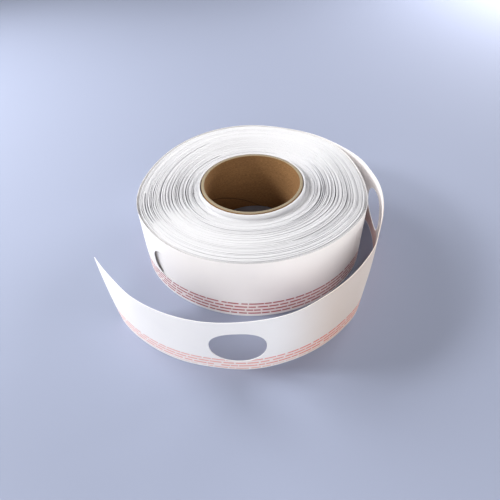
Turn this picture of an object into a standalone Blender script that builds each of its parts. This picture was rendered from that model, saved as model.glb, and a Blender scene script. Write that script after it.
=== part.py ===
"""A roll of white curtain tape on a cardboard core, its punched loose end standing beside it.

Units are metres, +Z is up. The roll stands on its flat end. The origin is the centre of the
footprint of the whole thing, roll and loose end together, on the surface that it stands on.
Plan angles are in degrees, counter-clockwise from +X, seen from above, round the roll's axis.
"""

import math
import random
from collections import namedtuple

import bmesh
import bpy

MM = 0.001

# Tape
TAPE_WIDTH = 55.0 * MM
SHEET_THICKNESS = 1.0 * MM
CLEARANCE = 0.3 * MM

# Core, a plain cardboard tube
CORE_BORE_RADIUS = 38.1 * MM
CORE_WALL = 2.4 * MM
CORE_EDGE = 0.5 * MM
CORE_STEPS = 64

# Wound roll
ROLL_RADIUS = 91.5 * MM
ROLL_STEPS = 76
DEPARTURE_ANGLE = 38.0
TURN_BUNDLES = 12
BUNDLE_UNEVENNESS = 0.35
POINTS_A_BUNDLE = 3
GROOVE_DEPTH = 1.3 * MM
CREST_DROP = 0.7 * MM
OUTER_SHOULDER = 0.4 * MM
BUNDLE_SEED = 11

# Punched holes
HOLE_LENGTH = 36.0 * MM
HOLE_HEIGHT = 32.0 * MM
HOLE_CENTRE_HEIGHT = TAPE_WIDTH / 2.0
LOOSE_HOLE_ANGLES = {"front": -96.5, "right": -5.5}
RECESS_ANGLES = {"left": 220.5, "back": 105.5}
HOLE_COLUMNS = 20
CUTTER_REACH = 6.0 * MM

# Loose end: where its lower and upper edge run, as distances from the roll's axis in
# millimetres at a plan angle. It leans in over the right side and out at the front.
EdgeRow = namedtuple("EdgeRow", "angle lower upper")
EDGE_ROWS = (
    EdgeRow(38.0, 91.3, 91.3),
    EdgeRow(33.0, 92.0, 91.9),
    EdgeRow(27.0, 93.6, 92.7),
    EdgeRow(21.0, 95.9, 94.1),
    EdgeRow(14.0, 98.7, 95.6),
    EdgeRow(4.0, 101.6, 96.6),
    EdgeRow(-7.0, 102.3, 99.1),
    EdgeRow(-18.0, 102.8, 101.6),
    EdgeRow(-29.0, 102.8, 104.3),
    EdgeRow(-38.0, 105.4, 107.2),
    EdgeRow(-46.0, 110.0, 112.0),
    EdgeRow(-54.0, 116.9, 115.9),
    EdgeRow(-62.0, 121.2, 120.3),
    EdgeRow(-72.0, 126.3, 126.0),
    EdgeRow(-82.0, 130.5, 132.5),
    EdgeRow(-93.0, 134.2, 136.3),
    EdgeRow(-104.0, 134.9, 138.5),
    EdgeRow(-114.0, 135.7, 138.3),
    EdgeRow(-125.0, 135.4, 136.6),
    EdgeRow(-134.0, 134.6, 133.7),
    EdgeRow(-140.0, 133.4, 132.7),
    EdgeRow(-146.0, 132.0, 132.2),
)
LOOSE_SECTIONS = 80
LOOSE_ROWS = 2
LOWER_CORNER_ANGLE = -138.8
UPPER_CORNER_ANGLE = -144.8
SLANT_START = 0.82

CORE_RADIUS = CORE_BORE_RADIUS + CORE_WALL
WINDING_START_RADIUS = CORE_RADIUS + CLEARANCE


def polar(radius, angle, height):
    """Point at a distance from the roll's axis, at a plan angle in degrees."""
    turn = math.radians(angle)
    return (radius * math.cos(turn), radius * math.sin(turn), height)


def smoothstep(value):
    """Ease from 0 to 1."""
    value = min(max(value, 0.0), 1.0)
    return value * value * (3.0 - 2.0 * value)


def edge_radius(angle, column):
    """Distance of the loose end's lower or upper edge from the axis, on a smooth curve."""
    rows = sorted(EDGE_ROWS)
    angles = [row.angle for row in rows]
    radii = [getattr(row, column) * MM for row in rows]
    last = len(rows) - 1
    angle = min(max(angle, angles[0]), angles[last])
    start = max(i for i in range(last) if angles[i] <= angle)

    def slope(i):
        before, after = max(i - 1, 0), min(i + 1, last)
        return (radii[after] - radii[before]) / (angles[after] - angles[before])

    span = angles[start + 1] - angles[start]
    u = (angle - angles[start]) / span
    return (
        (2 * u**3 - 3 * u**2 + 1) * radii[start]
        + (u**3 - 2 * u**2 + u) * span * slope(start)
        + (3 * u**2 - 2 * u**3) * radii[start + 1]
        + (u**3 - u**2) * span * slope(start + 1)
    )


def upper_edge_height(angle):
    """Height of the leaning tape's upper edge, from its full width."""
    lean = edge_radius(angle, "upper") - edge_radius(angle, "lower")
    return math.sqrt(TAPE_WIDTH**2 - lean**2)


def edge_normal(angle, column):
    """Outward unit normal in plan of one edge of the loose end."""
    step = 0.5
    before = polar(edge_radius(angle + step, column), angle + step, 0.0)
    after = polar(edge_radius(angle - step, column), angle - step, 0.0)
    run_x, run_y = after[0] - before[0], after[1] - before[1]
    length = math.hypot(run_x, run_y)
    return (-run_y / length, run_x / length)


def loose_section(index):
    """Corners of one section across the loose end, round its thickness from the lower edge."""
    along = index / LOOSE_SECTIONS
    first_angle = DEPARTURE_ANGLE - math.degrees(CLEARANCE / ROLL_RADIUS)
    lower_angle = first_angle + (LOWER_CORNER_ANGLE - first_angle) * along
    slant = UPPER_CORNER_ANGLE - LOWER_CORNER_ANGLE
    upper_angle = lower_angle + slant * smoothstep((along - SLANT_START) / (1.0 - SLANT_START))
    lower = polar(edge_radius(lower_angle, "lower"), lower_angle, 0.0)
    upper = polar(edge_radius(upper_angle, "upper"), upper_angle, upper_edge_height(upper_angle))
    lower_normal = edge_normal(lower_angle, "lower")
    upper_normal = edge_normal(upper_angle, "upper")
    half = SHEET_THICKNESS / 2.0

    def corner(up, side):
        return tuple(
            (1 - up) * (lower[k] + side * half * (lower_normal + (0.0,))[k])
            + up * (upper[k] + side * half * (upper_normal + (0.0,))[k])
            for k in range(3)
        )

    rising = [corner(row / LOOSE_ROWS, 1) for row in range(LOOSE_ROWS + 1)]
    falling = [corner(row / LOOSE_ROWS, -1) for row in range(LOOSE_ROWS, -1, -1)]
    return rising + falling


def bundle_profile():
    """Points (radius, height) of the roll's top at the departure angle, from the core outwards."""
    rng = random.Random(BUNDLE_SEED)
    widths = [1.0 + BUNDLE_UNEVENNESS * rng.uniform(-1.0, 1.0) for _ in range(TURN_BUNDLES)]
    room = ROLL_RADIUS - SHEET_THICKNESS - WINDING_START_RADIUS
    scale = room / sum(widths)
    points = []
    radius = WINDING_START_RADIUS
    for width in (scale * width for width in widths):
        crest = TAPE_WIDTH - CREST_DROP * rng.random()
        groove = TAPE_WIDTH - GROOVE_DEPTH * rng.uniform(0.8, 1.1)
        points += [
            (radius, groove),
            (radius + 0.22 * width, crest),
            (radius + 0.80 * width, crest),
        ]
        radius += width
    shoulder = TAPE_WIDTH - OUTER_SHOULDER
    points += [
        (radius, shoulder),
        (radius + 0.2 * SHEET_THICKNESS, TAPE_WIDTH),
        (radius + 0.8 * SHEET_THICKNESS, TAPE_WIDTH),
        (ROLL_RADIUS, shoulder),
    ]
    return points


def roll_section(turned):
    """Points of the roll's top and outer wall after a part of a turn, 0 to 1, from the departure.

    Each point moves in towards the place of the same point one bundle further in, so the
    ridges run round as one spiral and the outer wall ends in a step of one tape thickness.
    """
    profile = bundle_profile()
    points = []
    for i, (radius, height) in enumerate(profile):
        inner_radius, inner_height = profile[max(i - POINTS_A_BUNDLE, 0)]
        points.append(
            (radius + (inner_radius - radius) * turned, height + (inner_height - height) * turned)
        )
    points.append((points[-1][0], 0.0))
    return points


def roll_radius_at(angle):
    """Radius of the roll's outer wall at a plan angle, one tape thickness less after a turn."""
    turned = ((angle - DEPARTURE_ANGLE) % 360.0) / 360.0
    return ROLL_RADIUS - SHEET_THICKNESS * turned


def footprint_centre():
    """Centre of the box round the roll and the loose end in plan, from the roll's axis."""
    plan = [polar(roll_radius_at(a), a, 0.0) for a in (0.0, 90.0, 180.0, 270.0)]
    for index in range(LOOSE_SECTIONS + 1):
        plan += loose_section(index)
    xs = [point[0] for point in plan]
    ys = [point[1] for point in plan]
    return ((min(xs) + max(xs)) / 2.0, (min(ys) + max(ys)) / 2.0)


def make_material(name, colour, roughness):
    """A plain Principled finish."""
    material = bpy.data.materials.new(name)
    material.use_nodes = True
    shader = material.node_tree.nodes["Principled BSDF"]
    shader.inputs["Base Color"].default_value = (*colour, 1.0)
    shader.inputs["Roughness"].default_value = roughness
    shader.inputs["Metallic"].default_value = 0.0
    return material


def make_object(name, mesh_data, collection, parent):
    """Turn a bmesh into an object under a parent, smooth but for its sharp edges."""
    bmesh.ops.recalc_face_normals(mesh_data, faces=mesh_data.faces)
    mesh = bpy.data.meshes.new(name)
    mesh_data.to_mesh(mesh)
    mesh_data.free()
    mesh.shade_smooth()
    mesh.set_sharp_from_angle(angle=math.radians(35.0))
    obj = bpy.data.objects.new(name, mesh)
    obj.parent = parent
    collection.objects.link(obj)
    return obj


def make_core(collection, parent, material):
    """Cardboard tube: a closed profile turned about the roll's axis."""
    inner, outer = CORE_BORE_RADIUS, CORE_RADIUS
    top, edge = TAPE_WIDTH, CORE_EDGE
    profile = [
        (outer - edge, top),
        (outer, top - edge),
        (outer, edge),
        (outer - edge, 0.0),
        (inner + edge, 0.0),
        (inner, edge),
        (inner, top - edge),
        (inner + edge, top),
    ]
    data = bmesh.new()
    corners = [data.verts.new((radius, 0.0, height)) for radius, height in profile]
    for first, second in zip(corners, corners[1:] + corners[:1]):
        data.edges.new((first, second))
    mesh = bpy.data.meshes.new("core")
    data.to_mesh(mesh)
    data.free()
    core = bpy.data.objects.new("core", mesh)
    core.parent = parent
    core.data.materials.append(material)
    collection.objects.link(core)
    turn = core.modifiers.new("turn", "SCREW")
    turn.axis = "Z"
    turn.angle = math.radians(360.0)
    turn.steps = CORE_STEPS
    turn.render_steps = CORE_STEPS
    turn.use_merge_vertices = True
    turn.merge_threshold = 0.05 * MM
    turn.use_smooth_shade = False
    return core


def make_wound_roll(collection, parent, material):
    """Wound tape: a loft of top profiles round the axis, closed at the outer turn's step.

    The top profile of the last section lands on the first one moved in by one bundle, so the
    loft closes there, and the tape's end face is left over as the step.
    """
    data = bmesh.new()
    rings = []
    for step in range(ROLL_STEPS):
        angle = DEPARTURE_ANGLE + 360.0 * step / ROLL_STEPS
        points = roll_section(step / ROLL_STEPS)
        ring = [data.verts.new(polar(radius, angle, height)) for radius, height in points]
        ring.append(data.verts.new(polar(WINDING_START_RADIUS, angle, 0.0)))
        rings.append(ring)
    first = rings[0]
    wall_foot, inner_foot = first[-2:]
    moved = [first[max(i - POINTS_A_BUNDLE, 0)] for i in range(len(first) - 2)]
    step_foot = data.verts.new(polar(ROLL_RADIUS - SHEET_THICKNESS, DEPARTURE_ANGLE, 0.0))
    closing = moved + [step_foot, inner_foot]
    for ring, following in zip(rings, rings[1:] + [closing]):
        for i in range(len(ring)):
            j = (i + 1) % len(ring)
            corners = [ring[i], ring[j], following[j], following[i]]
            if ring[i] is wall_foot:
                corners.insert(1, step_foot)
            kept = [v for k, v in enumerate(corners) if v not in corners[:k]]
            if len(kept) > 2:
                data.faces.new(kept)
    outer_turn = first[POINTS_A_BUNDLE * TURN_BUNDLES : -1]
    data.faces.new(outer_turn + [step_foot])
    roll = make_object("wound_roll", data, collection, parent)
    roll.data.materials.append(material)
    return roll


def hole_chord(across):
    """Half height of a punched hole at a distance across it, as a share of its half length."""
    return 0.5 * HOLE_HEIGHT * math.sqrt(max(1.0 - across * across, 0.0))


def make_hole_cutter(name, angle, inner_radius, outer_radius, collection, parent):
    """Cutter with a hole's outline, curved round the roll's axis, between two radii."""
    data = bmesh.new()
    columns = []
    for column in range(HOLE_COLUMNS + 1):
        swing = math.pi * (1.0 - column / HOLE_COLUMNS)
        across = 0.999 * math.cos(swing)
        half_height = hole_chord(across)
        turned = math.degrees(0.5 * HOLE_LENGTH * across / outer_radius)
        low, high = HOLE_CENTRE_HEIGHT - half_height, HOLE_CENTRE_HEIGHT + half_height
        columns.append(
            [
                data.verts.new(polar(inner_radius, angle + turned, low)),
                data.verts.new(polar(outer_radius, angle + turned, low)),
                data.verts.new(polar(outer_radius, angle + turned, high)),
                data.verts.new(polar(inner_radius, angle + turned, high)),
            ]
        )
    for left, right in zip(columns, columns[1:]):
        for i in range(4):
            j = (i + 1) % 4
            data.faces.new([left[i], left[j], right[j], right[i]])
    data.faces.new(columns[0])
    data.faces.new(columns[-1])
    cutter = make_object(name, data, collection, parent)
    cutter.hide_render = True
    cutter.display_type = "WIRE"
    return cutter


def cut(target, cutter):
    """Subtract a cutter with the exact solver."""
    boolean = target.modifiers.new(cutter.name, "BOOLEAN")
    boolean.operation = "DIFFERENCE"
    boolean.solver = "EXACT"
    boolean.object = cutter


def make_loose_end(collection, parent, material):
    """Loose end: a loft of thin upright sections from the roll's step to the slanted cut."""
    data = bmesh.new()
    sections = [
        [data.verts.new(point) for point in loose_section(index)]
        for index in range(LOOSE_SECTIONS + 1)
    ]
    for section, following in zip(sections, sections[1:]):
        for i in range(len(section)):
            j = (i + 1) % len(section)
            data.faces.new([section[i], section[j], following[j], following[i]])
    for end in (sections[0], sections[-1]):
        for row in range(LOOSE_ROWS):
            data.faces.new([end[row], end[row + 1], end[-2 - row], end[-1 - row]])
    loose_end = make_object("loose_end", data, collection, parent)
    loose_end.data.materials.append(material)
    return loose_end


def main():
    """Build the roll of curtain tape."""
    for obj in list(bpy.data.objects):
        bpy.data.objects.remove(obj, do_unlink=True)
    parts = bpy.data.collections.new("Roll of curtain tape")
    cutters = bpy.data.collections.new("Cutters")
    bpy.context.scene.collection.children.link(parts)
    bpy.context.scene.collection.children.link(cutters)

    tape = make_material("white tape", (0.86, 0.86, 0.88), 0.7)
    cardboard = make_material("cardboard", (0.36, 0.24, 0.14), 0.85)

    centre_x, centre_y = footprint_centre()
    axis = bpy.data.objects.new("roll_axis", None)
    axis.location = (-centre_x, -centre_y, 0.0)
    parts.objects.link(axis)

    make_core(parts, axis, cardboard)

    roll = make_wound_roll(parts, axis, tape)
    for place, angle in RECESS_ANGLES.items():
        wall = roll_radius_at(angle)
        cutter = make_hole_cutter(
            "recess_" + place, angle, wall - SHEET_THICKNESS, wall + CUTTER_REACH, cutters, axis
        )
        cut(roll, cutter)

    loose_end = make_loose_end(parts, axis, tape)
    for place, angle in LOOSE_HOLE_ANGLES.items():
        wall = (edge_radius(angle, "lower") + edge_radius(angle, "upper")) / 2.0
        cutter = make_hole_cutter(
            "hole_" + place, angle, wall - CUTTER_REACH, wall + CUTTER_REACH, cutters, axis
        )
        cut(loose_end, cutter)
    bpy.context.view_layer.update()


main()
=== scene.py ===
"""Looks of a roll of white curtain tape, with its cardboard core and its loose end."""

import logging
import math
from dataclasses import dataclass
from enum import Enum
from typing import Any, Sequence

import bpy
import numpy as np
from mathutils import Matrix, Vector


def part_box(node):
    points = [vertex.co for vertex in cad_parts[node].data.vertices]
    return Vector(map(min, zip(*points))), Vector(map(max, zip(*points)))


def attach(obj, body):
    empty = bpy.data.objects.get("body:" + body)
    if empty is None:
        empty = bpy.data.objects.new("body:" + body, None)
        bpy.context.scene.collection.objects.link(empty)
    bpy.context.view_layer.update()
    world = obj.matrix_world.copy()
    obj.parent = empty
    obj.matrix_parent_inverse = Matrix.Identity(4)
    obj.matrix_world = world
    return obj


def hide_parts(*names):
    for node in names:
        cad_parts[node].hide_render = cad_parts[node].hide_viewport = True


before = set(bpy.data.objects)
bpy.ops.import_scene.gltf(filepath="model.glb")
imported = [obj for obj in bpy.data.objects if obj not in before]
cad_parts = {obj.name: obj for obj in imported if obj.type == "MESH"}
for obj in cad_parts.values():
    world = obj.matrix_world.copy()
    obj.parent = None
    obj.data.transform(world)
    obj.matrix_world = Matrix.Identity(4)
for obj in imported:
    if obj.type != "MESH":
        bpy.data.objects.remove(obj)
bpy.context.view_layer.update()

Array = np.ndarray
Object = bpy.types.Object
Material = bpy.types.Material
Socket = bpy.types.NodeSocket
Pair = tuple[float, float]
Colour = tuple[float, float, float, float]
Table = tuple[tuple[float, ...], ...]

LOG = logging.getLogger("roll")
MM = 0.001
FULL_TURN = 2.0 * math.pi
# How high the lower edge of the outer tape stands over the floor.
FOOT = 0.25 * MM
# A square's corners from the same first one, the other way round.
OTHER_WAY = [0, 3, 2, 1]


class Slot(Enum):
    """The names of the two materials."""

    TAPE = "tape"
    CARDBOARD = "cardboard"


def rows_at(x: Array, rows: Table, column: int = 1) -> Array:
    """Reads a column of a short table between its rows, on a smooth curve.

    Args:
        x: places to read, in the unit of the rows' first column.
        rows: rows in rising order of their first column.
        column: which column to read.

    Returns:
        The column's value at each place.
    """
    places = np.array([row[0] for row in rows], float)
    values = np.array([row[column] for row in rows], float)
    slopes = np.gradient(values, places)
    x = np.clip(x, places[0], places[-1])
    at = np.clip(np.searchsorted(places, x, side="right") - 1, 0, len(places) - 2)
    gap = places[at + 1] - places[at]
    t = (x - places[at]) / gap
    rise = values[at] * (1 + 2 * t) * (1 - t) ** 2 + values[at + 1] * t**2 * (3 - 2 * t)
    return rise + gap * (slopes[at] * t * (1 - t) ** 2 - slopes[at + 1] * t**2 * (1 - t))


def ease(x: Array, low: float, high: float) -> Array:
    """Rises smoothly from 0 where x is low to 1 where it is high."""
    t = np.clip((x - low) / (high - low), 0.0, 1.0)
    return t * t * (3.0 - 2.0 * t)


def rows_round(angle: Array, rows: Table) -> Array:
    """Reads a table of degrees and values that goes once round the roll, at angles in radians."""
    start = rows[0][0]
    return rows_at((np.degrees(angle) - start) % 360.0 + start, rows)


def squares(net: Array) -> Array:
    """Returns the squares between rows of point numbers, each starting along its row."""
    here, there = net[:-1], net[1:]
    return np.stack([here[:, :-1], here[:, 1:], there[:, 1:], there[:, :-1]], axis=-1).reshape(-1, 4)


def waves(angle: Array, seed: int, counts: Sequence[int]) -> Array:
    """Adds waves that close on themselves round the roll.

    Args:
        angle: angles in radians.
        seed: seed of the waves' shifts and heights.
        counts: how many times each wave goes round.

    Returns:
        The sum at each angle, about 1 high.
    """
    draw = np.random.default_rng(seed)
    total = np.zeros_like(angle)
    for count in counts:
        total = total + draw.uniform(0.4, 1.0) * np.sin(count * angle + draw.uniform(0.0, FULL_TURN))
    return total / math.sqrt(len(counts))


def make_mesh(
    name: str,
    points: Array,
    faces: Sequence[Sequence[int]],
    flat: Array | None = None,
    shades: dict[str, Array] | None = None,
) -> Object:
    """Makes a mesh object from points and faces.

    Args:
        name: the piece's name.
        points: its points, in metres.
        faces: its faces, as rows of point numbers.
        flat: each point's place on the flat cloth or board, kept as its texture map.
        shades: numbers from 0 to 1 for each point, kept under their names for the material.

    Returns:
        The object, linked into the scene.
    """
    mesh = bpy.data.meshes.new(name)
    mesh.from_pydata(points.tolist(), [], [tuple(face) for face in faces])
    mesh.update()
    if flat is not None:
        corner = np.zeros(len(mesh.loops), np.int32)
        mesh.loops.foreach_get("vertex_index", corner)
        layer = mesh.uv_layers.new(name="flat")
        layer.uv.foreach_set("vector", flat[corner].astype(np.float32).ravel())
    for label, values in (shades or {}).items():
        layer = mesh.attributes.new(label, "FLOAT", "POINT")
        layer.data.foreach_set("value", values.astype(np.float32))
    obj = bpy.data.objects.new(name, mesh)
    bpy.context.scene.collection.objects.link(obj)
    return obj


class Value:
    """One number in a material, so that an expression on values adds its Math nodes."""

    def __init__(self, board: "Board", socket: Socket) -> None:
        """Keeps the board and the socket."""
        self.board = board
        self.socket = socket

    def math(self, operation: str, *terms: Any) -> "Value":
        """Adds one Math node, with values or numbers as its inputs, and returns its result."""
        made = self.board.node("ShaderNodeMath", {"operation": operation}, dict(enumerate(terms)))
        return Value(self.board, made.outputs[0])

    def __add__(self, other: Any) -> "Value":
        """Returns self + other."""
        return self.math("ADD", self, other)

    __radd__ = __add__

    def __mul__(self, other: Any) -> "Value":
        """Returns self * other."""
        return self.math("MULTIPLY", self, other)

    __rmul__ = __mul__

    def __sub__(self, other: Any) -> "Value":
        """Returns self - other."""
        return self.math("SUBTRACT", self, other)

    def __rsub__(self, other: Any) -> "Value":
        """Returns other - self."""
        return self.math("SUBTRACT", other, self)

    def sine(self) -> "Value":
        """Returns the sine of self."""
        return self.math("SINE", self)

    def whole(self) -> "Value":
        """Returns self rounded down."""
        return self.math("FLOOR", self)

    def size(self) -> "Value":
        """Returns self without its sign."""
        return self.math("ABSOLUTE", self)

    def step(self, low: float, high: float) -> "Value":
        """Rises smoothly from 0 where self is low to 1 where it is high.

        Args:
            low: where the rise starts; it may be the larger number.
            high: where the rise ends.

        Returns:
            The share from 0 to 1.
        """
        falls = low > high
        ends = {"From Min": min(low, high), "From Max": max(low, high)}
        settings = {"interpolation_type": "SMOOTHSTEP", "clamp": True}
        targets = {"To Min": 1.0 if falls else 0.0, "To Max": 0.0 if falls else 1.0}
        made = self.board.node("ShaderNodeMapRange", settings, {"Value": self, **ends, **targets})
        return Value(self.board, made.outputs["Result"])


class Board:
    """A material's nodes."""

    def __init__(self, name: str) -> None:
        """Starts an empty material.

        Args:
            name: its name.
        """
        self.material = bpy.data.materials.new(name)
        self.material.use_nodes = True
        self.tree = self.material.node_tree
        self.tree.nodes.clear()

    def node(self, kind: str, settings: dict[str, Any], inputs: dict[Any, Any]) -> bpy.types.Node:
        """Adds one node.

        Args:
            kind: the node's type.
            settings: its settings, which are set first.
            inputs: what each socket gets, by name or number: a value, a link, a number or numbers.

        Returns:
            The node.
        """
        made = self.tree.nodes.new(kind)
        for key, setting in settings.items():
            setattr(made, key, setting)
        for key, given in inputs.items():
            source = given.socket if isinstance(given, Value) else given
            if isinstance(source, Socket):
                self.tree.links.new(source, made.inputs[key])
            else:
                made.inputs[key].default_value = source
        return made

    def shade(self, label: str) -> Value:
        """Returns the numbers that a mesh keeps under that name."""
        made = self.node("ShaderNodeAttribute", {"attribute_name": label}, {})
        return Value(self, made.outputs["Fac"])

    def flat(self) -> tuple[Value, Value]:
        """Reads the place on the flat cloth or board.

        Returns:
            Millimetres along it and across it.
        """
        place = self.node("ShaderNodeUVMap", {"uv_map": "flat"}, {})
        parts = self.node("ShaderNodeSeparateXYZ", {}, {0: place.outputs[0]})
        return Value(self, parts.outputs[0]) * (1.0 / MM), Value(self, parts.outputs[1]) * (1.0 / MM)

    def point(self, *parts: Any) -> Socket:
        """Returns a place made of up to three values or numbers."""
        return self.node("ShaderNodeCombineXYZ", {}, dict(enumerate(parts))).outputs[0]

    def place(self) -> Socket:
        """Returns the place on the object itself, in metres."""
        return self.node("ShaderNodeTexCoord", {}, {}).outputs["Object"]

    def noise(self, place: Any, scale: float, detail: float = 2.0, rough: float = 0.5) -> Value:
        """Returns soft noise from 0 to 1, of which a unit of the place holds scale grains."""
        inputs = {"Vector": place, "Scale": scale, "Detail": detail, "Roughness": rough}
        return Value(self, self.node("ShaderNodeTexNoise", {}, inputs).outputs[0])

    def mix(self, share: Any, first: Any, second: Any) -> Socket:
        """Returns the mix of two colours or links, with that share of the second one."""
        made = self.node("ShaderNodeMix", {"data_type": "RGBA"}, {0: share, 6: first, 7: second})
        return made.outputs[2]

    def bump(self, height: Value, depth: float) -> Socket:
        """Returns the normal as bent by a relief from 0 to 1 that is depth metres deep."""
        inputs = {"Strength": 1.0, "Distance": depth, "Height": height}
        return self.node("ShaderNodeBump", {}, inputs).outputs[0]

    def finished(self, fixed: dict[str, float], **changing: Any) -> Material:
        """Ends the material in its shader.

        Args:
            fixed: numbers that are the same all over, by the shader's own socket names.
            changing: colour, roughness and normal, as values or links.

        Returns:
            The material.
        """
        names = {"colour": "Base Color", "roughness": "Roughness", "normal": "Normal"}
        inputs = {names[key]: given for key, given in changing.items()}
        shader = self.node("ShaderNodeBsdfPrincipled", {}, {**fixed, **inputs})
        self.node("ShaderNodeOutputMaterial", {}, {0: shader.outputs[0]})
        return self.material


@dataclass(frozen=True)
class PrintRows:
    """Rows of plain broken red dashes along the tape's lower edge, in millimetres."""

    colour: Colour = (0.38, 0.03, 0.045, 1.0)
    loose_colour: Colour = (0.72, 0.075, 0.02, 1.0)
    halo: Colour = (0.86, 0.40, 0.33, 1.0)
    first_row: float = 3.3
    row_gap: float = 3.5
    row_count: int = 4
    row_width: float = 1.25
    dash_length: float = 8.0
    row_shift: float = 4.8
    dash_share: float = 0.87
    dash_wander: float = 14.0
    blur: float = 0.3
    end_blur: float = 0.04
    ink_share: float = 0.6
    loose_length: float = 375.0
    join_length: float = 60.0
    loose_drop: float = 1.7
    wash_foot: Pair = (-2.2, -0.4)
    wash_top: Pair = (11.45, 9.45)
    wash_share: float = 0.17

    def wound(self, along: Value) -> Value:
        """Returns 0 on the loose end and 1 on the turns that are wound."""
        return along.step(self.loose_length, self.loose_length + self.join_length)

    def height(self, along: Value, across: Value) -> Value:
        """Returns the millimetres above the lowest row, which lies lower on the loose end."""
        drop = (1.0 - self.wound(along)) * self.loose_drop
        return across - self.first_row + drop

    def wash(self, along: Value, across: Value) -> Value:
        """Returns how much faint pink there is round the rows, from 0 to 1."""
        up = self.height(along, across)
        return up.step(*self.wash_foot) * up.step(*self.wash_top) * self.wash_share

    def dashes(self, board: Board, along: Value, across: Value) -> Value:
        """Draws the dashes.

        Args:
            board: the material's nodes.
            along: millimetres along the tape.
            across: millimetres across it, from its lower edge.

        Returns:
            How much ink there is, from 0 to 1.
        """
        up = self.height(along, across)
        row = (up * (1.0 / self.row_gap) + 0.5).whole()
        from_row = (up - row * self.row_gap).size()
        inked = from_row.step(self.row_width * 0.5 + self.blur, self.row_width * 0.5 - self.blur)
        ends = self.row_count - 0.5
        inked = inked * row.step(-0.6, -0.4) * row.step(ends + 0.1, ends - 0.1)
        wander = board.noise(board.point(along, row * 40.0), 0.1, 1.0) * self.dash_wander
        run = (along + row * self.row_shift + wander) * (1.0 / self.dash_length)
        part = run - run.whole()
        end = part.step(self.dash_share + self.end_blur, self.dash_share)
        dashed = part.step(0.0, self.end_blur) * end
        grain = board.noise(board.point(along, across), 1.1, 2.0).step(0.1, 0.5)
        return inked * dashed * (self.ink_share + (1.0 - self.ink_share) * grain)


@dataclass(frozen=True)
class TapeFinish:
    """Stiff white woven tape with a printed lower edge, its lengths in millimetres."""

    outer: Colour = (0.87, 0.86, 0.855, 1.0)
    # Painted reflection in shade: the inner face is tinted warmer, standing in for warm light bounced
    # into its shade.
    inner: Colour = (0.83, 0.79, 0.785, 1.0)
    soiled: Colour = (0.81, 0.80, 0.81, 1.0)
    # Painted shade: the loose end's right part, which faces away from the lamps, is tinted darker
    # beige.
    beige: Colour = (0.73, 0.615, 0.525, 1.0)
    # Painted shade on the cut walls of the wound tape, which darkens them as if unlit.
    cut: Colour = (0.42, 0.41, 0.43, 1.0)
    through: Colour = (0.50, 0.22, 0.17, 1.0)
    soiled_share: float = 0.45
    beige_from: Pair = (132.0, 185.0)
    beige_to: Pair = (305.0, 250.0)
    cut_shade_share: float = 0.8
    through_below: Pair = (24.0, 12.0)
    through_share: float = 0.55
    pale_before: Pair = (190.0, 110.0)
    pale_share: float = 0.35
    roughness: float = 0.62
    roughness_change: float = 0.14
    weave_pitch: float = 0.62
    weave_depth: float = 0.05
    thread_height: float = 0.22
    fuzz_height: float = 0.35
    printed: PrintRows = PrintRows()

    def material(self) -> Material:
        """Makes the tape's material.

        Returns:
            The material.
        """
        board = Board("tape cloth")
        along, across = board.flat()
        inner = board.shade("inner")
        edge = board.shade("edge")
        cloudy = board.noise(board.point(along, across), 0.035, 3.0)
        fine = board.noise(board.point(along, across), 1.6, 3.0, 0.6)
        base = board.mix(cloudy.step(0.35, 0.85) * self.soiled_share, self.outer, self.soiled)
        # Painted shade on the right part of the loose end, which turns away from the lamps.
        right_side_shade = along.step(*self.beige_from) * along.step(*self.beige_to)
        base = board.mix(right_side_shade * (0.75 + 0.25 * cloudy), base, self.beige)
        # The inner face gets its warmer tint, a painted reflection of warm bounced light in shade.
        inside = inner * (1.0 - edge)
        base = board.mix(inside, base, self.inner)
        rows = self.printed
        wound = rows.wound(along)
        # Painted shade: the cut walls of the wound tape are darkened.
        cut = edge * inner * (1.0 - inner) * 4.0
        base = board.mix(cut.step(0.15, 0.5) * wound * self.cut_shade_share, base, self.cut)
        through = across.step(*self.through_below) * (1.0 - wound)
        base = board.mix(inside * through * self.through_share, base, self.through)
        outside = inner.step(0.5, 0.1) * edge.step(0.6, 0.2)
        base = board.mix(rows.wash(along, across) * outside, base, rows.halo)
        red = board.mix(wound, rows.loose_colour, rows.colour)
        strong = 1.0 - self.pale_share * along.step(*self.pale_before)
        base = board.mix(rows.dashes(board, along, across) * outside * strong, base, red)
        turn = FULL_TURN / self.weave_pitch
        warp = (along * turn).sine() * (across * (turn * 0.5)).sine()
        weft = (across * turn).sine() * (along * (turn * 0.5)).sine()
        relief = 0.5 + self.thread_height * (warp + weft) + self.fuzz_height * (fine - 0.5)
        return board.finished(
            {"Sheen Weight": 0.08, "Sheen Roughness": 0.5, "Specular IOR Level": 0.32},
            colour=base,
            roughness=self.roughness + self.roughness_change * (fine - 0.5),
            normal=board.bump(relief, self.weave_depth * MM),
        )


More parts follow.
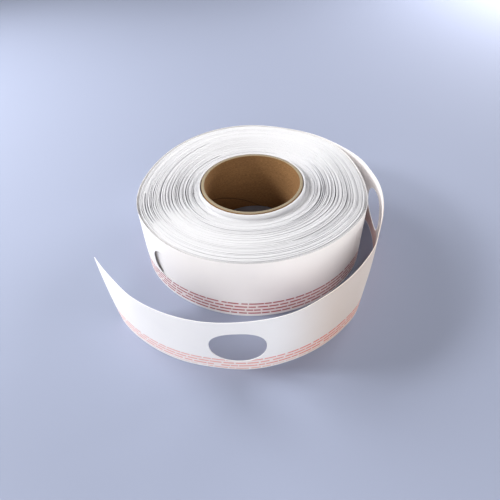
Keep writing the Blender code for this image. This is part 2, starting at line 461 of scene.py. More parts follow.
@dataclass(frozen=True)
class TurnEdgeFinish:
    """The cut edges of many turns of tape, with painted shade in the gaps between them."""

    crest: Colour = (0.75, 0.75, 0.765, 1.0)
    # Painted shade in the valleys and gaps between turns.
    gap: Colour = (0.20, 0.195, 0.24, 1.0)
    # Grey that differs at random from turn to turn; its strength is partly painted shade, strong at
    # the sides and weak at the back.
    grey: Colour = (0.60, 0.60, 0.635, 1.0)
    grey_share: float = 0.6
    gap_shade_share: float = 0.82
    roughness: float = 0.8
    roughness_change: float = 0.2
    fibre_depth: float = 0.06 * MM

    def material(self) -> Material:
        """Makes the wound edges' material.

        Returns:
            The material.
        """
        board = Board("tape edges")
        place = board.place()
        fibres = board.noise(place, 900.0, 3.0, 0.65)
        patches = board.noise(place, 42.0, 2.0)
        # Random grey per turn, scaled by looseness: partly painted shade, stronger at the sides where
        # the light rakes across the turns.
        grey = board.shade("tone") * self.grey_share * (0.55 + 0.45 * patches)
        base = board.mix(grey, self.crest, self.grey)
        # Painted shade: darker in the valleys between turns and in the sunk gaps.
        base = board.mix(board.shade("gap") * self.gap_shade_share, base, self.gap)
        return board.finished(
            {"Sheen Weight": 0.05, "Specular IOR Level": 0.25},
            colour=base,
            roughness=self.roughness + self.roughness_change * (fibres - 0.5),
            normal=board.bump(fibres, self.fibre_depth),
        )


@dataclass(frozen=True)
class BoardFinish:
    """Brown cardboard of wound plies, paler on its cut rim."""

    bore: Colour = (0.14, 0.064, 0.024, 1.0)
    bore_pale: Colour = (0.35, 0.195, 0.078, 1.0)
    seam: Colour = (0.045, 0.025, 0.012, 1.0)
    rim: Colour = (0.38, 0.33, 0.235, 1.0)
    rim_dark: Colour = (0.20, 0.15, 0.09, 1.0)
    pale_share: float = 0.6
    seam_share: float = 0.85
    roughness: float = 0.78
    roughness_change: float = 0.2
    fibre_depth: float = 0.12 * MM

    def material(self) -> Material:
        """Makes the cardboard's material.

        Returns:
            The material.
        """
        board = Board("wound cardboard")
        along, across = board.flat()
        fibres = board.noise(board.point(along * 0.35, across), 1.4, 4.0, 0.65)
        bands = board.noise(board.point(along * 0.05, across * 0.6), 0.5, 2.0)
        pale = fibres.step(0.3, 0.75) * self.pale_share + (1.0 - self.pale_share) * bands
        wall = board.mix(pale, self.bore, self.bore_pale)
        wall = board.mix(board.shade("seam") * self.seam_share, wall, self.seam)
        dark = (board.shade("ply") * 0.8 + 0.5 * (fibres - 0.5)).step(0.15, 0.75)
        cut = board.mix(dark, self.rim, self.rim_dark)
        return board.finished(
            {"Specular IOR Level": 0.3},
            colour=board.mix(board.shade("rim"), wall, cut),
            roughness=self.roughness + self.roughness_change * (fibres - 0.5),
            normal=board.bump(fibres, self.fibre_depth),
        )


@dataclass(frozen=True)
class FloorFinish:
    """A plain pale floor."""

    colour: Colour = (0.31, 0.345, 0.46, 1.0)
    worn: Colour = (0.32, 0.355, 0.47, 1.0)
    roughness: float = 0.85

    def material(self) -> Material:
        """Makes the floor's material.

        Returns:
            The material.
        """
        board = Board("plain floor")
        soft = board.noise(board.place(), 3.0, 2.0)
        return board.finished(
            {"Specular IOR Level": 0.15},
            colour=board.mix(soft, self.colour, self.worn),
            roughness=self.roughness + 0.05 * soft,
        )


@dataclass(frozen=True)
class RollForm:
    """The wound roll's own form, which its turns, its outer tape and its core share."""

    axis: Pair
    height: float
    radius: float = 91.5 * MM
    pitch: float = 0.43 * MM
    departure: float = math.radians(38.0)
    first_radius: float = 40.8 * MM
    foot_share: float = 0.55
    flats: Table = (
        (-145, 0), (-60, 0), (-42, 0.3), (-28, 0.7), (-20, -0.4), (-12, -2), (-2, -3.3), (12, -3.5),
        (25, -2.1), (38, -1.1), (52, -1.4), (66, -1.2), (76, -0.2), (86, 1.1), (96, 2), (108, 1.8),
        (118, 0.9), (128, -0.2), (138, -1.5), (150, -2.6), (165, -2.9), (178, -1.7), (190, -0.4),
        (200, 0.3), (208, 0.1), (215, 0),
    )
    feet: Table = (
        (-90, 0), (160, 0), (178, 0.2), (192, 0.9), (206, 1.1), (220, 0.5), (236, 0), (270, 0),
    )

    def bulge(self, angle: Array) -> Array:
        """Returns the metres by which the rim stands off a true circle, at angles in radians."""
        return rows_round(angle, self.flats) * MM

    def foot_bulge(self, angle: Array) -> Array:
        """Returns the metres by which the foot of the outer turns stands off a true circle."""
        return self.bulge(angle) * self.foot_share + rows_round(angle, self.feet) * MM

    def turn_middle(self, turned: Array) -> Array:
        """Returns the tape's middle radius, at radians round the roll since the tape joins it."""
        return self.radius - self.pitch * (0.5 + turned / FULL_TURN)

    def to_world(self, radius: Array, angle: Array, height: Array) -> Array:
        """Turns radius, angle and height into points.

        Args:
            radius: metres from the roll's axis.
            angle: radians round it.
            height: metres above the floor.

        Returns:
            A row of x, y and z for each place.
        """
        x = self.axis[0] + radius * np.cos(angle)
        y = self.axis[1] + radius * np.sin(angle)
        return np.stack(np.broadcast_arrays(x, y, height), axis=-1)


@dataclass
class Route:
    """The way a stretch of tape takes: its lower and upper edges at many angles."""

    form: RollForm
    angle: Array
    low: Array
    up: Array
    top: Array
    foot: float = FOOT
    bow: Array | None = None
    lift: Array | None = None

    def __post_init__(self) -> None:
        """Measures the stretch along its middle."""
        middle = self.form.to_world((self.low + self.up) / 2, self.angle, 0.0 * self.angle)
        steps = np.linalg.norm(np.diff(middle, axis=0), axis=1)
        self.run = np.concatenate([[0.0], np.cumsum(steps)])

    @property
    def length(self) -> float:
        """Gives the stretch's whole length in metres."""
        return float(self.run[-1])

    def run_at(self, angle: float) -> float:
        """Returns the metres along the stretch at an angle."""
        return float(np.interp(angle, self.angle, self.run))

    def points(self, run: Array, share: Array) -> Array:
        """Places flat cloth on the route.

        Args:
            run: metres along the tape.
            share: how far across it, from 0 at the lower edge to 1 at the upper.

        Returns:
            A point for each.
        """
        angle = np.interp(run, self.run, self.angle)
        low, up, top = (np.interp(run, self.run, v) for v in (self.low, self.up, self.top))
        radius = low + (up - low) * share
        if self.bow is not None:
            radius = radius + np.interp(run, self.run, self.bow) * 4.0 * share * (1.0 - share)
        if self.lift is not None:
            radius = radius + np.interp(run, self.run, self.lift) * (4.0 * share * (1.0 - share)) ** 3
        return self.form.to_world(radius, angle, self.foot + (top - self.foot) * share)


@dataclass(frozen=True)
class Hole:
    """A punched hole, with its place as an angle round the roll in degrees."""

    angle: float
    length: float = 36.0 * MM
    height: float = 32.0 * MM
    rise: float = 0.0
    roundness: float = 2.25

    def outline(self, around: Array, width: float) -> Array:
        """Gives the hole's edge in the directions of given points.

        Args:
            around: points as metres along and share across, seen from the hole's middle.
            width: the tape's width.

        Returns:
            A point on the edge for each.
        """
        rise = (around[:, 1] - 0.5) * width - self.rise
        a, b = self.length / 2, self.height / 2
        power = self.roundness
        reach = (np.abs(around[:, 0] / a) ** power + np.abs(rise / b) ** power) ** (-1.0 / power)
        return np.stack([around[:, 0] * reach, 0.5 + (rise * reach + self.rise) / width], axis=-1)


@dataclass
class PunchedTape:
    """A stretch of tape with its punched holes, as one closed sheet."""

    name: str
    route: Route
    holes: Sequence[Hole]
    width: float = 55.0 * MM
    thickness: float = 0.42 * MM
    slant: float = 0.0
    starts_at: float = 0.0
    column_step: float = 2.0 * MM
    rows: int = 18
    patch_length: float = 46.0 * MM
    patch_columns: int = 22
    rings: int = 7
    ring_spread: float = 1.25
    nudge: float = 0.2 * MM
    share_nudge: float = 0.01

    def _grid(self, start: Array, end: float) -> tuple[Array, Array]:
        """Fills a plain stretch with squares.

        Args:
            start: where each row starts.
            end: where all rows end.

        Returns:
            Flat points, and faces on them.
        """
        columns = max(1, round((end - start.min()) / self.column_step))
        across = np.linspace(0.0, 1.0, self.rows + 1)
        share = np.linspace(0.0, 1.0, columns + 1)[:, None]
        along = start[None, :] + (end - start[None, :]) * share
        points = np.stack([along, np.broadcast_to(across, along.shape)], axis=-1).reshape(-1, 2)
        net = np.arange(len(points)).reshape(columns + 1, -1)
        return points, squares(net)[:, OTHER_WAY]

    def _patch(self, hole: Hole) -> tuple[Array, Array]:
        """Fills the tape round a hole with rings that turn from oval to square.

        Args:
            hole: the hole.

        Returns:
            Flat points, and faces on them.
        """
        half = self.patch_length / 2
        along = np.linspace(-half, half, self.patch_columns + 1)
        across = np.linspace(0.0, 1.0, self.rows + 1)
        outline = (
            [(x, 0.0) for x in along[:-1]]
            + [(half, y) for y in across[:-1]]
            + [(x, 1.0) for x in along[:0:-1]]
            + [(-half, y) for y in across[:0:-1]]
        )
        outline = np.array(outline)
        edge = hole.outline(outline, self.width)
        shares = (np.linspace(0.0, 1.0, self.rings + 1) ** self.ring_spread)[:, None, None]
        points = (edge + (outline - edge) * shares).reshape(-1, 2) + (self._centre(hole), 0.0)
        net = np.arange(len(points)).reshape(self.rings + 1, -1)
        return points, squares(np.pad(net, ((0, 0), (0, 1)), mode="wrap"))[:, OTHER_WAY]

    def _centre(self, hole: Hole) -> float:
        """Returns how many metres along the tape a hole's middle lies."""
        return self.route.run_at(math.radians(hole.angle))

    def flat_pattern(self) -> tuple[Array, Array]:
        """Cuts the flat tape with its holes.

        Returns:
            Points as metres along and share across, and faces of four points.
        """
        across = np.linspace(0.0, 1.0, self.rows + 1)
        start = self.slant * (1.0 - across)
        parts = []
        for hole in self.holes:
            end = self._centre(hole) - self.patch_length / 2
            parts += [self._grid(start, end), self._patch(hole)]
            start = np.full(self.rows + 1, end + self.patch_length)
        parts.append(self._grid(start, self.route.length))
        shifts = np.cumsum([0] + [len(points) for points, _ in parts])
        points = np.concatenate([points for points, _ in parts])
        faces = np.concatenate([faces + shift for (_, faces), shift in zip(parts, shifts)])
        _, first, where = np.unique(
            np.round(points * 1e6).astype(np.int64), axis=0, return_index=True, return_inverse=True
        )
        return points[first], where.reshape(-1)[faces]

    def area(self, points: Array, faces: Array) -> float:
        """Measures the flat cut.

        Args:
            points: the flat points.
            faces: the flat faces.

        Returns:
            Its area in square metres.
        """
        corner = (points * (1.0, self.width))[faces]
        after = np.roll(corner, -1, axis=1)
        cross = corner[..., 0] * after[..., 1] - corner[..., 1] * after[..., 0]
        return float(np.abs(cross.sum(axis=1) / 2).sum())

    def build(self) -> tuple[Object, float]:
        """Builds the sheet.

        Returns:
            The object, and its flat area in square metres.
        """
        flat, faces = self.flat_pattern()
        run, share = flat.T
        at = self.route.points(run, share)
        before, after = (self.route.points(run + way * self.nudge, share) for way in (-1, 1))
        lower, upper = (self.route.points(run, share + way * self.share_nudge) for way in (-1, 1))
        outward = np.cross(after - before, upper - lower)
        outward /= np.maximum(np.linalg.norm(outward, axis=1, keepdims=True), 1e-12)
        count = len(flat)
        points = np.concatenate([at + way * outward * self.thickness / 2 for way in (1, -1)])
        rim = self._rim(faces)
        walls = np.stack([rim[:, 1], rim[:, 0], rim[:, 0] + count, rim[:, 1] + count], axis=1)
        every = np.concatenate([faces, faces[:, ::-1] + count, walls])
        place = np.tile(flat * (1.0, self.width) + (self.starts_at, 0.0), (2, 1))
        edge = np.zeros(count)
        edge[np.unique(rim)] = 1.0
        shades = {"inner": np.repeat([0.0, 1.0], count), "edge": np.tile(edge, 2)}
        obj = make_mesh(self.name, points, every.tolist(), place, shades)
        obj.data.polygons.foreach_set("use_smooth", np.arange(len(every)) < 2 * len(faces))
        self._sharpen(obj.data, 2 * faces.size)
        return obj, self.area(flat, faces)

    def lay(self, node: str, finish: TapeFinish) -> None:
        """Builds the sheet, dresses it and lays it on the roll.

        Args:
            node: the part's node that it takes the place of.
            finish: the tape's finish.
        """
        obj, area = self.build()
        obj.data.materials.append(finish.material())
        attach(obj, "root")
        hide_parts(node)
        LOG.info("%s: %.3f m long, %.4f square metres", self.name, self.route.length, area)

    @staticmethod
    def _sharpen(mesh: bpy.types.Mesh, first_corner: int) -> None:
        """Marks the edges of the cut as sharp.

        Args:
            mesh: the tape's mesh.
            first_corner: the first face corner that belongs to the cut.
        """
        edges = np.zeros(len(mesh.loops), dtype=np.int32)
        mesh.loops.foreach_get("edge_index", edges)
        sharp = np.zeros(len(mesh.edges), dtype=bool)
        sharp[edges[first_corner:]] = True
        mesh.edges.foreach_set("use_edge_sharp", sharp)

    @staticmethod
    def _rim(faces: Array) -> Array:
        """Finds the edges that only one face uses.

        Args:
            faces: faces of four points.

        Returns:
            Each such edge, in its face's direction.
        """
        edges = np.stack([faces, np.roll(faces, -1, axis=1)], axis=-1).reshape(-1, 2)
        _, where, uses = np.unique(
            np.sort(edges, axis=1), axis=0, return_inverse=True, return_counts=True
        )
        return edges[uses[where.reshape(-1)] == 1]


@dataclass
class LooseTape:
    """The loose end that stands round the front, and the outer turn that it comes off."""

    form: RollForm
    finish: TapeFinish = TapeFinish()
    slot: Slot = Slot.TAPE
    width: float = 55.0 * MM
    tip_low: float = -138.8
    tip_high: float = -144.8
    step: float = 0.5
    holes: tuple[Hole, ...] = (
        Hole(-96.5), Hole(-5.5), Hole(109.2, rise=2.4 * MM),
        Hole(222.4, length=25.0 * MM, height=25.0 * MM, rise=0.2 * MM),
    )
    lifted: tuple[float, float, float] = (194.0, 211.0, 238.0)
    lift: float = 0.8 * MM
    join_span: float = 35.0
    free_from: float = 10.0
    wave: float = 0.35 * MM
    foot_wave_share: float = 0.4
    bow: float = 0.7 * MM
    bow_change: float = 0.6
    edges: Table = (
        (-146, 132, 132.2), (-140, 133.4, 132.7), (-134, 134.6, 133.7), (-125, 135.4, 136.6),
        (-114, 135.7, 138.3), (-104, 134.9, 138.5), (-93, 134.2, 136.3), (-82, 130.5, 132.5),
        (-72, 126.3, 126), (-62, 121.2, 120.3), (-54, 116.9, 115.9), (-46, 110, 112),
        (-38, 105.4, 107.2), (-29, 102.8, 104.3), (-18, 102.8, 101.6), (-7, 102.3, 99.1),
        (4, 101.6, 96.6), (14, 98.7, 95.6), (21, 95.9, 94.1), (27, 93.6, 92.7), (33, 92, 91.9),
        (38, 91.3, 91.3),
    )

    def route(self) -> Route:
        """Lays the way of the loose end and of one turn round the roll.

        Returns:
            The route, from the slanted tip on.
        """
        form = self.form
        depart = math.degrees(form.departure)
        loose = np.arange(self.tip_high, depart, self.step)
        turn = np.arange(depart, depart + 360.0 + self.step / 2, self.step)
        low = rows_at(loose, self.edges, 1) * MM
        up = rows_at(loose, self.edges, 2) * MM
        turned = np.radians(turn - depart)
        joined = ease(turn, depart, depart + self.join_span)
        start, peak, end = self.lifted
        lift = self.lift * ease(turn, start, peak) * ease(-turn, -end, -peak)
        middle = form.turn_middle(turned)
        bulge = form.bulge(np.radians(turn)) * joined
        foot = form.foot_bulge(np.radians(turn)) * joined
        angle = np.radians(np.concatenate([loose, turn]))
        low = np.concatenate([low, middle + foot])
        up = np.concatenate([up, middle + bulge])
        free = ease(-np.degrees(angle), -depart, -self.free_from)
        wave = waves(angle * 2.0, 5, (2, 3, 5)) * self.wave * free
        top = FOOT + np.sqrt(self.width**2 - (up - low) ** 2)
        bow = free * self.bow * (1.0 + self.bow_change * waves(angle, 9, (2, 3, 4)))
        lift = np.concatenate([np.zeros(len(loose)), lift])
        low, up = low + wave * self.foot_wave_share, up + wave
        return Route(form, angle, low, up, np.minimum(top, form.height), bow=bow, lift=lift)

    def build(self) -> None:
        """Builds and dresses the loose end with its outer turn."""
        route = self.route()
        slant = route.run_at(math.radians(self.tip_low))
        tape = PunchedTape("loose_tape", route, self.holes, width=self.width, slant=slant)
        tape.lay("loose_end", self.finish)


@dataclass
class UnderTurns:
    """The next turns of tape below the outer one, whose edges show in its holes."""

    form: RollForm
    finish: TapeFinish = TapeFinish()
    slot: Slot = Slot.TAPE
    width: float = 54.6 * MM
    count: int = 3
    step: float = 1.0
    hole_angles: tuple[float, ...] = (109.2, 224.0)
    hole_step: float = -13.0
    thickness: float = 0.16 * MM
    starts_at: float = 946.0 * MM
    hole_rise: float = 2.2 * MM
    sag: tuple[float, float, float, float] = (196.0, 211.0, 218.0, 232.0)
    sags: tuple[float, ...] = (-0.3 * MM, 0.4 * MM, 0.12 * MM)
    unevenness: float = 0.35 * MM

    def route(self) -> Route:
        """Lays the way of these turns.

        Returns:
            The route, from where the outer turn ends.
        """
        form = self.form
        depart = math.degrees(form.departure) + 360.0
        turn = np.arange(depart, depart + 360.0 * self.count + self.step / 2, self.step)
        angle = np.radians(turn)
        turned = angle - form.departure
        start, deep, deep_end, end = self.sag
        here = (turn - start) % 360.0 + start
        number = np.clip(np.floor((turn - start) / 360.0).astype(int) - 1, 0, self.count - 1)
        depth = np.array(self.sags)[number]
        sag = depth * ease(here, start, deep) * ease(-here, -end, -deep_end)
        middle = form.turn_middle(turned)
        top = self.width - self.unevenness * (0.5 + 0.5 * waves(turned * 0.5, 21, (3, 5, 9)))
        low, up = middle + form.foot_bulge(angle), middle + form.bulge(angle)
        return Route(form, angle, low, up, top, lift=-sag)

    def build(self) -> None:
        """Builds and dresses the turns."""
        route = self.route()
        angles = [
            angle + 360.0 * number + self.hole_step * number
            for number in range(1, self.count + 1)
            for angle in self.hole_angles
        ]
        holes = [Hole(angle, rise=self.hole_rise) for angle in sorted(angles)]
        tape = PunchedTape(
            "under_turns", route, holes, width=self.width, thickness=self.thickness, rows=12,
            column_step=3.0 * MM, patch_columns=16, rings=4, starts_at=self.starts_at,
        )
        tape.lay("wound_roll", self.finish)


@dataclass(frozen=True)
class Gap:
    """A dark gap that follows one turn on the roll's top, in millimetres and degrees."""

    radius: float
    start: float
    span: float
    depth: float
    turns: int = 1


@dataclass
class WoundTurns:
    """All the inner turns of the roll, as one spiral with each turn's own edge on top."""

    form: RollForm
    finish: TurnEdgeFinish = TurnEdgeFinish()
    slot: Slot = Slot.TAPE
    skipped: int = 4
    segments: int = 180
    seed: int = 4
    turn_jitter: float = 0.10 * MM
    tier_height: float = 0.24 * MM
    tier_turns: float = 4.5
    looseness: Table = (
        (-145, 0.5), (-120, 0.35), (-95, 0.35), (-70, 0.6), (-45, 0.9), (-10, 1), (12, 1),
        (28, 0.6), (45, 0.15), (90, 0.08), (125, 0.12), (148, 0.5), (165, 1), (195, 1), (208, 0.7),
        (215, 0.5),
    )
    sunk_share: float = 0.26
    sunk_depth: Pair = (0.45 * MM, 1.25 * MM)
    seam_depth: float = 0.30 * MM
    dish_depth: float = 3.5 * MM
    dish: Pair = (44.0 * MM, 76.0 * MM)
    collar_turns: int = 3
    collar_rise: float = 0.1 * MM
    below_top: float = 0.35 * MM
    swing_range: Pair = (-0.9 * MM, 0.3 * MM)
    tight_share: float = 0.3
    calm_rim: Pair = (86.0 * MM, 89.0 * MM)
    calm_share: float = 0.75
    sway: float = 0.5 * MM
    black_depth: float = 1.0 * MM
    valley_shade: float = 0.35
    base: float = 0.2 * MM
    shoulders: Pair = (0.14, 0.86)
    gaps: Table = (
        (53.5, 118, 115, 1.7, 2), (57.5, 215, 175, 1.5, 2), (50.5, 60, 95, 0.9),
        (73.5, 118, 98, 1.4, 2), (76.5, -72, 100, 1.4, 2), (69.5, -118, 70, 0.9),
        (85.5, 184, 28, 2, 2), (83.2, 188, 24, 1.7), (87.4, 192, 22, 1.5), (80.2, 182, 30, 1.2),
        (77.4, 176, 40, 1), (89.2, -128, 118, 0.9), (86.4, -140, 90, 0.7), (82.5, -135, 100, 0.7),
        (61.3, -140, 95, 1), (65.4, -60, 80, 1.1), (47.2, 168, 70, 1), (62, 150, 75, 0.9),
        (84.5, -40, 60, 1), (80.8, -34, 52, 0.8), (59.4, -20, 46, 0.9), (50.6, -38, 62, 1.2),
        (52.9, -46, 76, 1.3), (55.6, -62, 84, 1.5, 2), (58.6, -58, 70, 1.2), (62.2, -52, 66, 1.3),
        (64, -30, 48, 1.1), (67.3, -70, 88, 1.4, 2), (70.1, -44, 56, 1.1), (72.4, -58, 62, 1.2),
        (78.9, -62, 70, 1.1), (87.6, -58, 50, 1.1), (48.6, 150, 60, 1.1), (51.6, 156, 58, 1.2),
        (56.2, 158, 52, 1.3), (58.8, 162, 48, 1.1), (60.6, 166, 46, 1.2), (64.2, 160, 50, 1.3),
        (66.7, 166, 44, 1.2), (69.3, 158, 50, 1.3), (71.4, 170, 40, 1.1), (79, 172, 40, 1.4),
        (81.7, 176, 36, 1.5), (88.6, 196, 26, 1.4),
    )

    def _heights(self, radius: Array, angle: Array, turn: Array, turns: int) -> Array:
        """Sets how high each turn's edge stands.

        Args:
            radius: each place's radius.
            angle: its angle.
            turn: the number of its turn, the outermost first.
            turns: how many turns there are.

        Returns:
            Metres above the floor.
        """
        draw = np.random.default_rng(self.seed)
        jitter = draw.normal(0.0, 1.0, turns + 2)
        knots = draw.normal(0.0, 1.0, int(turns / self.tier_turns) + 4)
        tier = np.interp(turn / self.tier_turns, np.arange(len(knots)), knots)
        drift = np.zeros_like(radius)
        for count in (1, 2, 3, 5):
            shift = np.cumsum(draw.normal(0.0, 0.35, turns + 2))[turn]
            drift += np.sin(count * angle + shift + draw.uniform(0.0, FULL_TURN)) * 0.5
        collar = turn >= turns - self.collar_turns
        sunk = self.dish_depth * (1.0 - ease(radius, *self.dish))
        level = self.form.height - self.below_top - np.where(collar, 0.0, sunk)
        swing = self.tier_height * (0.65 * tier + 0.55 * drift) + self.turn_jitter * jitter[turn]
        swing *= 1.0 - self.calm_share * ease(radius, *self.calm_rim)
        loose = self._loose(angle)
        swing = np.clip(swing, *self.swing_range)
        swing *= self.tight_share + (1.0 - self.tight_share) * loose
        swing -= self._sunk(angle, turn, turns) * loose
        return level + np.where(collar, self.collar_rise, swing)

    def _loose(self, angle: Array) -> Array:
        """Returns from 0 to 1 how loosely the turns lie: more at the sides than at the back."""
        return rows_round(angle, self.looseness)

    def _sunk(self, angle: Array, turn: Array, turns: int) -> Array:
        """Sinks single turns here and there, which draws the fine dark lines.

        Args:
            angle: each place's angle.
            turn: the number of its turn.
            turns: how many turns there are.

        Returns:
            Metres down.
        """
        draw = np.random.default_rng(self.seed + 7)
        chosen = draw.random(turns + 2) < self.sunk_share
        depth = np.where(chosen, draw.uniform(*self.sunk_depth, turns + 2), 0.0)
        phase = draw.uniform(0.0, FULL_TURN, turns + 2)[turn]
        share = 0.65 + 0.35 * np.sin(angle * 2.0 + phase) * np.sin(angle * 3.0 + phase * 3.0)
        return depth[turn] * share

    def _gap_depths(self, angle: Array, turn: Array) -> Array:
        """Sinks the turns that lie in the gaps.

        Args:
            angle: each place's angle, from the departure on.
            turn: the number of its turn.

        Returns:
            Metres down.
        """
        form = self.form
        depths = np.zeros_like(angle)
        turned = (angle - form.departure) / FULL_TURN
        for row in self.gaps:
            gap = Gap(*row)
            start = math.radians(gap.start)
            past = (angle - start) % FULL_TURN
            share = past / math.radians(gap.span)
            first = ((start - form.departure) / FULL_TURN) % 1.0
            wound = round((form.radius - gap.radius * MM) / form.pitch) - self.skipped
            number = np.round(wound + first + past / FULL_TURN - turned % 1.0)
            inside = (turn >= number) & (turn < number + gap.turns) & (share <= 1.0)
            fade = np.sin(np.pi * np.clip(share, 0.0, 1.0)) ** 0.6
            ripple = 0.8 + 0.2 * np.sin(angle * 11.0 + gap.radius)
            depths = np.maximum(depths, np.where(inside, gap.depth * MM * fade * ripple, 0.0))
        return depths

    def build(self) -> None:
        """Builds and dresses the spiral."""
        form = self.form
        outer = form.radius - self.skipped * form.pitch
        turns = int((outer - form.first_radius) / form.pitch) - 1
        columns = turns * self.segments
        column = np.arange(columns + self.segments + 1)
        turned = column / self.segments * FULL_TURN
        angle = form.departure + turned
        radius = outer - form.pitch * turned / FULL_TURN
        turn = np.minimum(column // self.segments, turns)
        share = (radius - form.first_radius) / (form.radius - form.first_radius)
        sway = waves(angle, 31, (2, 3)) * self.sway * np.sin(np.pi * np.clip(share, 0.0, 1.0))
        mapped = radius + form.bulge(angle) * ease(share, 0.1, 0.95) + sway
        loose, gaps = self._loose(angle), self._gap_depths(angle, turn)
        crest = self._heights(radius, angle, turn, turns) - gaps
        valley = np.copy(crest)
        valley[self.segments:] = np.minimum(crest[self.segments:], crest[:-self.segments])
        valley -= self.seam_depth * (0.25 + 0.75 * loose)
        seam = np.arange(columns + 1)
        ribs = [
            form.to_world(mapped[seam] - form.pitch * shoulder, angle[seam], crest[seam])
            for shoulder in self.shoulders
        ]
        outside = np.arange(self.segments + 1)
        inside = columns + outside
        foot = np.concatenate([radius[outside] + form.foot_bulge(angle[outside]), mapped[inside]])
        floor = form.to_world(foot, angle[np.concatenate([outside, inside])], self.base)
        points = np.concatenate([form.to_world(mapped, angle, valley), *ribs, floor])
        first_rib = len(column) + seam
        last_rib = first_rib + len(seam)
        low_out = last_rib[-1] + 1 + outside
        low_in = low_out + len(outside)
        pairs = [
            (seam, first_rib), (first_rib, last_rib), (last_rib, seam + self.segments),
            (low_out, outside), (inside, low_in), (low_in, low_out),
        ]
        ends = [
            [low_out[0], 0, first_rib[0], last_rib[0], self.segments, low_out[-1]],
            [low_in[-1], inside[-1], last_rib[-1], first_rib[-1], columns, low_in[0]],
        ]
        faces = np.concatenate([squares(np.stack(pair)) for pair in pairs]).tolist() + ends
        draw = np.random.default_rng(self.seed + 1)
        # Grey tone that differs at random per turn, scaled by looseness: stronger at the sides, where
        # side light darkens the turns, weaker at the back, so partly painted shade.
        tone = draw.uniform(0.0, 1.0, turns + 2)[turn] * (0.2 + 0.8 * loose)
        # Painted shade for the edges' material, kept as gap: every valley gets some, and a turn sunk
        # in a gap gets more, full at black_depth.
        sunk = np.clip(gaps / self.black_depth, 0.0, 1.0)
        valley_gap_shade = np.clip(self.valley_shade + sunk, 0.0, 1.0)
        plain = np.zeros(len(floor))
        tones = np.concatenate([tone, tone[seam], tone[seam], plain])
        deep = np.concatenate([valley_gap_shade, sunk[seam], sunk[seam], plain])
        obj = make_mesh("wound_turns", points, faces, None, {"tone": tones, "gap": deep})
        obj.data.materials.append(self.finish.material())
        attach(obj, "root")
        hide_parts("wound_roll")
        LOG.info("wound_turns: %d turns, %d faces", turns, len(faces))


@dataclass
class CoreTube:
    """The cardboard core, wound from plies on a slant, with a seam in its bore."""

    form: RollForm
    finish: BoardFinish = BoardFinish()
    slot: Slot = Slot.CARDBOARD
    bore: float = 38.1 * MM
    wall: float = 2.4 * MM
    proud: float = 0.3 * MM
    base: float = 0.2 * MM
    edge: float = 0.35 * MM
    around: int = 200
    levels: int = 110
    rim_rings: int = 12
    seam_lead: float = 121.3 * MM
    seam_start: float = -25.9 * MM
    seam_depth: float = 0.35 * MM
    seam_width: float = 0.45 * MM
    plies: int = 5
    ply_relief: float = 0.12 * MM
    unevenness: float = 0.12 * MM
    lap: float = 0.06 * MM
    lap_width: float = 9.0 * MM

    def build(self) -> None:
        """Builds and dresses the tube."""
        top = self.form.height + self.proud
        outer = self.bore + self.wall
        levels = np.linspace(self.base + self.edge, top - self.edge, self.levels + 1)
        rings = np.linspace(self.bore + self.edge, outer - self.edge, self.rim_rings + 1)
        profile = [(self.bore, z, 0.0) for z in levels]
        profile += [(r, top, 1.0) for r in rings]
        profile += [(outer, z, 0.0) for z in levels[::-10]]
        profile += [(r, self.base, 1.0) for r in rings[::-1]]
        profile = np.array(profile)
        shape = (len(profile), self.around)
        radius, height, rim = (np.broadcast_to(part[:, None], shape) for part in profile.T)
        angles = np.broadcast_to(np.arange(self.around) / self.around * FULL_TURN, shape)
        line = self.seam_start + self.seam_lead * angles / FULL_TURN
        off = (height - line + self.seam_lead / 2) % self.seam_lead - self.seam_lead / 2
        on_rim = rim > 0.5
        in_bore = (radius < self.bore + self.edge / 2) & ~on_rim
        seam = np.where(in_bore, np.exp(-((off / self.seam_width) ** 2)), 0.0)
        lap = np.where(in_bore, self.lap * np.clip(off / self.lap_width, -1.0, 1.0), 0.0)
        uneven = waves(angles + height * 20.0, 41, (2, 3, 7)) * self.unevenness * on_rim
        ply = 0.5 + 0.5 * np.cos((radius - self.bore) / self.wall * self.plies * FULL_TURN)
        ply = np.where(on_rim, ply, 0.0)
        z = height - self.ply_relief * ply * (height > self.form.height / 2) + uneven
        points = self.form.to_world(radius + self.seam_depth * seam - lap, angles, z).reshape(-1, 3)
        faces = squares(np.pad(np.arange(radius.size).reshape(shape), (0, 1), mode="wrap"))
        flat = np.stack([angles * self.bore, height + radius - self.bore], axis=-1).reshape(-1, 2)
        shades = {"rim": rim.ravel().copy(), "seam": seam.ravel(), "ply": ply.ravel()}
        obj = make_mesh("core_tube", points, faces.tolist(), flat, shades)
        obj.data.polygons.foreach_set("use_smooth", np.ones(len(faces), bool))
        obj.data.materials.append(self.finish.material())
        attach(obj, "root")
        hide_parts("core")
        LOG.info("core_tube: %d faces", len(faces))


@dataclass(frozen=True)
class SoftLight:
    """One soft panel of light, placed round the roll."""

    name: str
    azimuth: float
    elevation: float
    size: float
    power: float
    colour: tuple[float, float, float] = (1.0, 0.99, 0.98)
    distance: float = 1.1

    def build(self, target: Vector) -> None:
        """Hangs the panel.

        Args:
            target: what it faces.
        """
        around, up = math.radians(self.azimuth), math.radians(self.elevation)
        flat = math.cos(up)
        way = Vector((math.cos(around) * flat, math.sin(around) * flat, math.sin(up)))
        data = bpy.data.lights.new(self.name, "AREA")
        data.shape = "DISK"
        data.size, data.energy, data.color = self.size, self.power, self.colour
        obj = bpy.data.objects.new(self.name, data)
        obj.location = target + way * self.distance
        obj.rotation_euler = way.to_track_quat("Z", "Y").to_euler()
        bpy.context.scene.collection.objects.link(obj)


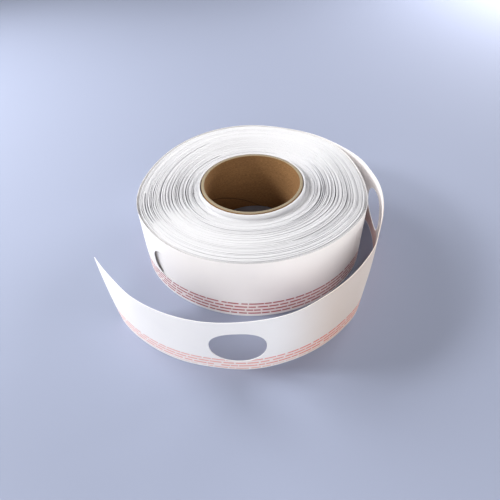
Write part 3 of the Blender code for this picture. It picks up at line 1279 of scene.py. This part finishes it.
@dataclass
class Studio:
    """The plain floor, the soft light and the camera."""

    form: RollForm
    finish: FloorFinish = FloorFinish()
    floor_size: float = 6.0
    lens: float = 29.945
    sensor: float = 36.0
    pitch: float = 44.28
    roll: float = -3.26
    offset: Pair = (-4.52 * MM, -275.36 * MM)
    above_top: float = 192.5 * MM
    sky: tuple[float, float, float] = (1.0, 0.955, 0.94)
    sky_strength: float = 0.12
    aim: float = 20.0 * MM
    lights: tuple[SoftLight, ...] = (
        SoftLight("key_panel", 180.0, 32.0, 0.26, 8.2, (1.0, 1.0, 1.0)),
        SoftLight("left_panel", 150.0, 34.0, 0.6, 9.6, (1.0, 1.0, 1.0)),
        SoftLight("front_panel", 264.0, 19.0, 0.9, 5.8),
        SoftLight("over_front_panel", 262.0, 36.0, 0.5, 1.2),
        SoftLight("right_panel", 318.0, 26.0, 0.6, 2.2),
        SoftLight("back_panel", 42.0, 16.0, 0.7, 12.2, (1.0, 0.985, 0.985)),
    )

    def floor(self) -> None:
        """Lays the floor."""
        corners = np.array([(-1, -1, 0), (1, -1, 0), (1, 1, 0), (-1, 1, 0)]) * self.floor_size / 2
        obj = make_mesh("floor", corners, [(0, 1, 2, 3)])
        obj.data.materials.append(self.finish.material())

    def light(self) -> None:
        """Sets the panels and the even light of the room."""
        x, y = self.form.axis
        target = Vector((x, y - self.aim, self.form.height / 2))
        for light in self.lights:
            light.build(target)
        world = bpy.data.worlds.new("studio")
        world.use_nodes = True
        back = world.node_tree.nodes["Background"]
        back.inputs["Color"].default_value = (*self.sky, 1.0)
        back.inputs["Strength"].default_value = self.sky_strength
        bpy.context.scene.world = world
        bpy.context.scene.view_settings.view_transform = "Standard"

    def camera(self) -> None:
        """Sets the camera where the photo was taken from."""
        down, roll = math.radians(self.pitch), math.radians(self.roll)
        ahead = Vector((0.0, math.cos(down), -math.sin(down)))
        level = Vector((1.0, 0.0, 0.0))
        rise = level.cross(ahead)
        right = math.cos(roll) * level + math.sin(roll) * rise
        up = -math.sin(roll) * level + math.cos(roll) * rise
        data = bpy.data.cameras.new("camera")
        data.lens = self.lens
        data.sensor_width = self.sensor
        data.clip_start = 0.01
        obj = bpy.data.objects.new("camera", data)
        turn = Matrix((right, up, -ahead)).transposed().to_4x4()
        x, y = (axis + offset for axis, offset in zip(self.form.axis, self.offset))
        place = Vector((x, y, self.form.height + self.above_top))
        obj.matrix_world = Matrix.Translation(place) @ turn
        bpy.context.scene.collection.objects.link(obj)
        bpy.context.scene.camera = obj


def roll_form() -> RollForm:
    """Reads the roll's axis and height from the frame."""
    low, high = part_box("core")
    return RollForm(axis=((low.x + high.x) / 2, (low.y + high.y) / 2), height=high.z)


def main() -> None:
    """Builds every piece in order."""
    logging.basicConfig(level=logging.INFO, format="%(name)s: %(message)s")
    form = roll_form()
    studio = Studio(form)
    studio.camera()
    studio.light()
    studio.floor()
    for piece in (CoreTube, WoundTurns, UnderTurns, LooseTape):
        piece(form).build()


if __name__ == "__main__":
    main()
